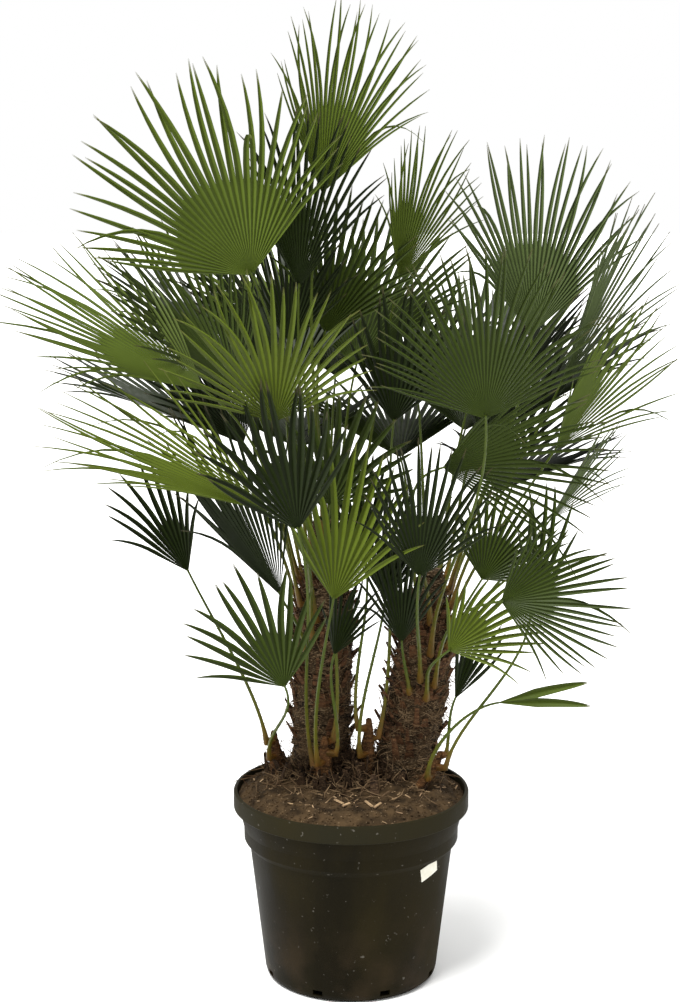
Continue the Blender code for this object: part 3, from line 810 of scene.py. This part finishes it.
def bark_place(stem, seed):
    """Shingled old leaf bases in spiral rows, roughened, on the stem's own taper and lean."""
    height = stem.tip[2] - stem.foot[2]
    rows = height / SCALE_ROW
    columns = 7 if stem.sides > 8 else 3

    def place(turn, share):
        inner = 0.0 if share in (0.0, 1.0) else 1.0
        row = share * rows + ROW_WANDER * noise.noise(around(1, turn, share * 9 + seed) * 1.4)
        spiral = turn * columns / tau + GOLDEN_TURN * (row // 1)
        scale = 1 - (row % 1.0)
        arch = abs(cos(pi * spiral))
        size = stem.radius / SCALE_RADIUS
        lift = SCALE_LIFT * size * (scale * (0.35 + 0.65 * arch) - 0.35)
        spot = around(SCALE_RADIUS, turn, share * height)
        rough = noise.fractal(spot * ROUGH_SCALE + Vector((seed, 0, 0)), 0.8, 2.0, 4)
        rough = ROUGHNESS * rough * size ** 0.5
        narrow = 1 if stem.sides > 8 else 1 - SUCKER_NARROWING * share ** 3
        radius = (stem_radius(stem, share) * narrow + lift + rough) * inner
        return stem_axis(stem, share) + around(1, turn) * radius
    return place


def surface_spot(stem, turn, share):
    """A point of the stem's side, and the way out there."""
    out = around(1, turn)
    return stem_axis(stem, share) + out * stem_radius(stem, share), out


def add_strand(many, start, way, length, thick, rng):
    """A loose fibre of three short runs that wanders and falls."""
    centres = [start]
    for _ in range(3):
        way = (way + Vector((rng.gauss(0, 0.35), rng.gauss(0, 0.35), rng.gauss(-0.12, 0.3)))).normalized()
        centres.append(centres[-1] + way * length / 3)
    many.tube(centres, [thick, thick, thick * 0.8, thick * 0.3])


def add_stub(many, block, start, out, rng):
    """The flattened foot of an old leaf, broken off short: a block, placed, narrowed and roughened."""
    points, faces = block
    width, length, thick = rng.uniform(0.01, 0.022), rng.uniform(0.018, 0.058), rng.uniform(0.003, 0.006)
    up = (UP * rng.uniform(0.6, 1.4) + out * rng.uniform(0.25, 0.8)).normalized()
    side = up.cross(out).normalized()
    face = side.cross(up).normalized()
    placed = []
    for point in points:
        narrow = 1 - 0.45 * (point.z + 0.5) + rng.uniform(-0.08, 0.08)
        placed.append(start + side * point.x * width * narrow + face * point.y * thick * narrow
                      + up * (point.z + 0.35) * length * rng.uniform(0.92, 1.08))
    many.add(placed, faces)


class PALM_OT_trunks(bpy.types.Operator):
    """Wraps both trunks in shingled leaf bases, broken stubs and loose fibre"""

    bl_idname = "palm.trunks"
    bl_label = "Trunks"

    def execute(self, context):
        sizes = context.scene.palm_sizes
        bark = bark_finish("trunk_fibre", context.scene.palm_colours.bark, TRUNK_PALE)
        block = primitive_shape("cube", size=1)
        loose, stubs = Many(), Many()
        rng = random.Random(sizes.seed + 23)
        for seed, name in enumerate(("trunk_left", "trunk_right")):
            stem = STEMS[name]
            item = wrapped_grid(AROUND_TRUNK, ALONG_TRUNK, bark_place(stem, seed * 5.0))
            finished(item, name + "_bark", bark, "trunk_fibre", name)
            for _ in range(sizes.strands):
                spot, out = surface_spot(stem, rng.uniform(0, tau), rng.uniform(0.02, 0.82))
                across = out.cross(UP) * rng.choice((-1, 1))
                way = (across * rng.uniform(0.2, 1) + out * rng.uniform(-0.05, 0.28)
                       + Vector((0, 0, rng.uniform(-0.5, 0.6)))).normalized()
                add_strand(loose, spot, way, rng.uniform(0.018, 0.055), rng.uniform(*STRAND_THICKNESS), rng)
            for _ in range(sizes.stubs):
                spot, out = surface_spot(stem, rng.uniform(0, tau), rng.uniform(0.06, 0.8) ** 0.8)
                add_stub(stubs, block, spot, out, rng)
        loose.piece("trunk_strands", strand_finish(), "trunk_fibre")
        stubs.piece("leaf_bases", bark_finish("leaf_base_brown", *LEAF_BASE), "trunk_fibre")
        return {"FINISHED"}


class PALM_OT_suckers(bpy.types.Operator):
    """Wraps the young suckers in their orange-brown sheaths"""

    bl_idname = "palm.suckers"
    bl_label = "Suckers"

    def execute(self, context):
        finish = bark_finish("sucker_sheath", *SHEATH)
        loose = Many()
        rng = random.Random(context.scene.palm_sizes.seed + 31)
        for seed, (name, stem) in enumerate(STEMS.items()):
            if name.startswith("trunk"):
                continue
            item = wrapped_grid(AROUND_SUCKER, ALONG_SUCKER, bark_place(stem, 3.0 + seed))
            finished(item, name + "_sheath", finish, "sucker_fibre", name)
            for _ in range(SUCKER_STRANDS):
                spot, out = surface_spot(stem, rng.uniform(0, tau), rng.uniform(0.02, 0.9))
                drift = Vector((rng.gauss(0, 0.4), rng.gauss(0, 0.4), rng.uniform(-0.2, 1)))
                way = (out * rng.uniform(0.2, 0.8) + drift).normalized()
                add_strand(loose, spot, way, rng.uniform(0.012, 0.03), rng.uniform(0.0004, 0.0008), rng)
        loose.piece("sucker_strands", finish, "sucker_fibre")
        return {"FINISHED"}


def pot_profile():
    """Half of the pot's cut face, from the rim down its outer side and up its inner one."""
    rim, collar, top = RIM_RADIUS, COLLAR_RADIUS, POT_HEIGHT
    band_foot = top - RIM_BAND
    body_top = COLLAR_FOOT + (BODY_RADIUS - collar)
    foot = BODY_FOOT_RADIUS - CORNER
    outer = [(rim - LIP, top), (rim - 0.001, top - 0.0012), (rim, top - LIP), (rim, band_foot + EDGE),
             (rim - EDGE, band_foot), (collar + 0.003, band_foot), (collar + 0.001, band_foot - EDGE),
             (collar, COLLAR_FOOT + EDGE), (collar - 0.001, COLLAR_FOOT),
             (body_radius(body_top) + 0.001, body_top), (body_radius(body_top - EDGE), body_top - 0.003),
             (body_radius(0.2), 0.2), (body_radius(0.1), 0.1), (BODY_FOOT_RADIUS, CORNER)]
    for turn in map(radians, (30, 60, 80)):
        outer.append((foot + CORNER * cos(turn), CORNER - CORNER * sin(turn)))
    inner = [(foot, 0), (0, 0), (0, FLOOR), (foot, FLOOR), (BODY_FOOT_RADIUS - WALL, CORNER + WALL),
             (BODY_RADIUS - WALL, COLLAR_FOOT - WALL), (collar - WALL, COLLAR_FOOT + WALL),
             (rim - 2 * WALL, band_foot + WALL), (rim - 1.6 * WALL, top - 0.001), (rim - 1.4 * WALL, top),
             (rim - LIP, top)]
    return outer + inner


def pot_drains(item):
    """Cuts the drain slots through the foot of the wall."""
    cutters = []
    for index in range(DRAIN_COUNT):
        angle = tau * (index + 0.5) / DRAIN_COUNT
        spot = around(BODY_FOOT_RADIUS, angle, CORNER)
        bpy.ops.mesh.primitive_cube_add(size=1, location=spot, rotation=(0, 0, angle))
        bpy.context.object.scale = (3 * CORNER, DRAIN_WIDTH, DRAIN_HEIGHT)
        cutters.append(bpy.context.object)
    for cutter in cutters:
        cutter.select_set(True)
    bpy.context.view_layer.objects.active = cutters[0]
    bpy.ops.object.join()
    cutter = applied(bpy.context.object)
    cut = item.modifiers.new("Drains", "BOOLEAN")
    cut.operation = "DIFFERENCE"
    cut.solver = "EXACT"
    cut.object = cutter
    choose_only(item)
    bpy.ops.object.modifier_apply(modifier="Drains")
    bpy.data.objects.remove(cutter)


# The blank label on the pot's wall: where it sits, and how far it is turned
LABEL_HEADING = radians(-41)
LABEL_HEIGHT = 0.277
LABEL_SIZE = (0.052, 0.03)
LABEL_TILT = radians(14)


def label_place(across, up):
    """A spot of the blank label on the pot's wall, in metres from the label's middle."""
    side = across * cos(LABEL_TILT) - up * sin(LABEL_TILT)
    rise = across * sin(LABEL_TILT) + up * cos(LABEL_TILT)
    height = LABEL_HEIGHT + rise
    radius = body_radius(height) + 0.0007
    heading = LABEL_HEADING + side / radius
    return around(radius, heading, height)


class PALM_OT_pot(bpy.types.Operator):
    """Turns the nursery pot with its rim, collar and drain slots, and puts the blank label on it"""

    bl_idname = "palm.pot"
    bl_label = "Pot"

    def execute(self, context):
        colours = context.scene.palm_colours
        profile = pot_profile()
        item = wrapped_grid(POT_AROUND, len(profile) - 1, profile_place(profile), 35)
        pot_drains(item)
        finished(item, "nursery_pot", pot_finish(colours.pot, colours.rim), "pot_plastic", "pot")
        bpy.ops.mesh.primitive_grid_add(x_subdivisions=12, y_subdivisions=6, size=1)
        label = bpy.context.object
        for vert in label.data.vertices:
            vert.co = label_place(vert.co.x * LABEL_SIZE[0], vert.co.y * LABEL_SIZE[1])
        thicken = label.modifiers.new("Paper", "SOLIDIFY")
        thicken.thickness = 0.0006
        applied(label)
        finished(label, "blank_label", plain_finish("label_paper", *PAPER, 60.0, 0.6), "pot_plastic")
        return {"FINISHED"}


def soil_spot(x, y, above=0):
    """A point on the soil: a low mound, with clods and a rougher heap where the stems stand."""
    radius = hypot(x, y)
    slope = min(1.0, max(0.0, (radius - SOIL_FLAT_RADIUS) / (RIM_RADIUS - 2 * WALL - SOIL_FLAT_RADIUS)))
    level = SOIL_TOP + (SOIL_EDGE - SOIL_TOP) * slope
    clods = CLOD * noise.fractal(Vector((x, y, 0.3)) * CLOD_SCALE, 0.7, 2.0, 4)
    heap = HEAP * exp(-((x + 0.01) / HEAP_WIDTH) ** 2 - ((y - 0.05) / HEAP_DEPTH) ** 2)
    rough = 0.7 + 0.6 * noise.noise(Vector((x, y, 0)) * 25)
    return Vector((x, y, level + clods + heap * rough + above))


# Heading in degrees, distance from the pot's middle, length and turn of the large chips seen on the soil
BIG_CHIPS = ((-76, 0.15, 0.036, 112), (-70, 0.158, 0.03, 62), (-101, 0.135, 0.03, 125),
             (-94, 0.152, 0.022, 50))


class PALM_OT_soil(bpy.types.Operator):
    """Heaps the soil in the pot, with crumbs, pale chips and dead fibre on it"""

    bl_idname = "palm.soil"
    bl_label = "Soil"

    def execute(self, context):
        sizes = context.scene.palm_sizes
        inner = RIM_RADIUS - 2 * WALL - GAP
        below = [(inner, POT_HEIGHT - RIM_BAND + WALL), (COLLAR_RADIUS - WALL - 0.001, COLLAR_FOOT + WALL),
                 (BODY_RADIUS - WALL - 0.001, COLLAR_FOOT - WALL), (BODY_FOOT_RADIUS - 0.014, SOIL_FLOOR),
                 (0, SOIL_FLOOR)]

        def place(turn, share):
            spot = share * (SOIL_RINGS + len(below))
            if spot <= SOIL_RINGS + 0.01:
                radius = inner * spot / SOIL_RINGS
                x, y = radius * cos(turn), radius * sin(turn)
                return soil_spot(x, y)
            radius, height = below[min(len(below) - 1, int(round(spot)) - SOIL_RINGS - 1)]
            return around(radius, turn, height)

        item = wrapped_grid(SOIL_AROUND, SOIL_RINGS + len(below), place)
        finish = soil_finish(context.scene.palm_colours.soil)
        finished(item, "soil_heap", finish, "soil", "soil")
        rng = random.Random(sizes.seed + 41)
        ball = primitive_shape("ico_sphere", subdivisions=1, radius=1)
        block = primitive_shape("cube", size=1)
        crumbs, chips, litter, bases = Many(), Many(), Many(), Many()
        for _ in range(sizes.crumbs):
            spot, _ = self.spot(rng, CRUMB_REACH)
            size = rng.uniform(0.0008, 0.0034)
            stretch = [rng.uniform(0.6, 1.2) * size for _ in range(3)]
            crumbs.add([spot + Vector(p[k] * stretch[k] for k in range(3)) for p in ball[0]], ball[1])
        for _ in range(CHIPS):
            spot, turn = self.spot(rng, CHIP_REACH)
            long, wide = rng.uniform(0.004, 0.016), rng.uniform(0.001, 0.003)
            self.chip(chips, block, spot, turn, (long, wide, 0.0014))
        for heading, reach, long, angle in BIG_CHIPS:
            x, y = reach * cos(radians(heading)), reach * sin(radians(heading))
            spot = soil_spot(x, y, 0.003)
            turn = Matrix.Rotation(radians(angle), 3, "Z") @ Matrix.Rotation(0.2, 3, "X")
            self.chip(chips, block, spot, turn, (long, 0.005, 0.003))
        for _ in range(LITTER):
            x, y = rng.gauss(-0.01, 0.085), rng.gauss(0.035, 0.06)
            if hypot(x, y) > LITTER_REACH:
                continue
            way = Vector((rng.gauss(0, 1), rng.gauss(0, 1), rng.uniform(0.0, 0.9))).normalized()
            long, thick = rng.uniform(0.02, 0.07), rng.uniform(0.0005, 0.0016)
            add_strand(litter, soil_spot(x, y), way, long, thick, rng)
        for _ in range(sizes.fallen):
            x, y = rng.gauss(-0.02, 0.065), rng.gauss(0.02, 0.045)
            out = Vector((rng.gauss(0, 1), rng.gauss(-0.6, 1), rng.uniform(0.1, 0.9))).normalized()
            add_stub(bases, block, soil_spot(x, y), out, rng)
        bases.piece("fallen_bases", bark_finish("dead_base", *DEAD_BASE), "trunk_fibre")
        crumbs.piece("soil_crumbs", finish, "soil")
        chips.piece("wood_chips", plain_finish("wood_chips", *CHIP_WOOD, 45.0, 0.8), "soil")
        litter.piece("dead_fibre", strand_finish(), "trunk_fibre")
        return {"FINISHED"}

    def chip(self, many, block, spot, turn, size):
        """A flat splinter: a block of the given size, turned."""
        points, faces = block
        many.add([spot + turn @ Vector(p[k] * size[k] for k in range(3)) for p in points], faces)

    def spot(self, rng, reach):
        """A random place on the soil, and a random turn."""
        radius, heading = reach * sqrt(rng.random()), rng.uniform(0, tau)
        x, y = radius * cos(heading), radius * sin(heading)
        turn = Matrix.Rotation(rng.uniform(0, 6.28), 3, "Z") @ Matrix.Rotation(rng.uniform(-0.5, 0.5), 3, "Y")
        return soil_spot(x, y, 0.0006), turn


# The camera that the photograph was taken with, as its pot's rim and foot give it
CAMERA_PLACE = (-0.0235, -4.0, 1.79)
CAMERA_PITCH = radians(10.76)
CAMERA_LENS = 70.56

# Name, way it shines, strength and angle in degrees of each soft light
LIGHTS = (("key", (0.3, 0.4, -1.0), 4.2, 22), ("back", (-0.3, -0.7, -1.0), 0.8, 40))


class PALM_OT_stage(bpy.types.Operator):
    """Lays the pale floor, lights it softly and sets the camera"""

    bl_idname = "palm.stage"
    bl_label = "Stage"

    def execute(self, context):
        bpy.ops.mesh.primitive_plane_add(size=60)
        floor = bpy.context.object
        floor.name = "floor"
        floor.data.materials.append(plain_finish("floor_pale", *PALE_FLOOR, 0.5, 0.95))
        world = bpy.data.worlds.new("studio")
        world.use_nodes = True
        background = world.node_tree.nodes["Background"]
        background.inputs["Color"].default_value = (1.0, 1.0, 1.0, 1)
        background.inputs["Strength"].default_value = 1.0
        context.scene.world = world
        for name, way, strength, spread in LIGHTS:
            light = bpy.data.lights.new(name, "SUN")
            light.energy, light.angle = strength, radians(spread)
            item = bpy.data.objects.new(name, light)
            item.rotation_euler = Vector(way).to_track_quat("-Z", "Y").to_euler()
            context.scene.collection.objects.link(item)
        camera = bpy.data.objects.new("camera", bpy.data.cameras.new("camera"))
        camera.data.lens = CAMERA_LENS
        camera.data.sensor_width = 36
        camera.location = CAMERA_PLACE
        camera.rotation_euler = (pi / 2 - CAMERA_PITCH, 0, 0)
        context.scene.collection.objects.link(camera)
        context.scene.camera = camera
        context.scene.view_settings.view_transform = "Standard"
        return {"FINISHED"}


OPERATORS = (PALM_OT_stage, PALM_OT_pot, PALM_OT_soil, PALM_OT_trunks, PALM_OT_suckers, PALM_OT_petioles,
             PALM_OT_leaflets)


class PALM_PT_panel(bpy.types.Panel):
    """The palm's sizes, colours and steps"""

    bl_idname = "PALM_PT_panel"
    bl_label = "Fan palm"
    bl_space_type = "VIEW_3D"
    bl_region_type = "UI"
    bl_category = "Palm"

    def draw(self, context):
        for group in (context.scene.palm_sizes, context.scene.palm_colours):
            for name in group.__annotations__:
                self.layout.prop(group, name)
        for operator in OPERATORS:
            self.layout.operator(operator.bl_idname)


CLASSES = (PalmSizes, PalmColours, *OPERATORS, PALM_PT_panel)


def register():
    for one in CLASSES:
        bpy.utils.register_class(one)
    bpy.types.Scene.palm_sizes = bpy.props.PointerProperty(type=PalmSizes)
    bpy.types.Scene.palm_colours = bpy.props.PointerProperty(type=PalmColours)


def unregister():
    del bpy.types.Scene.palm_sizes
    del bpy.types.Scene.palm_colours
    for one in reversed(CLASSES):
        bpy.utils.unregister_class(one)


def main():
    register()
    for operator in OPERATORS:
        group, name = operator.bl_idname.split(".")
        getattr(getattr(bpy.ops, group), name)()


if __name__ == "__main__":
    main()
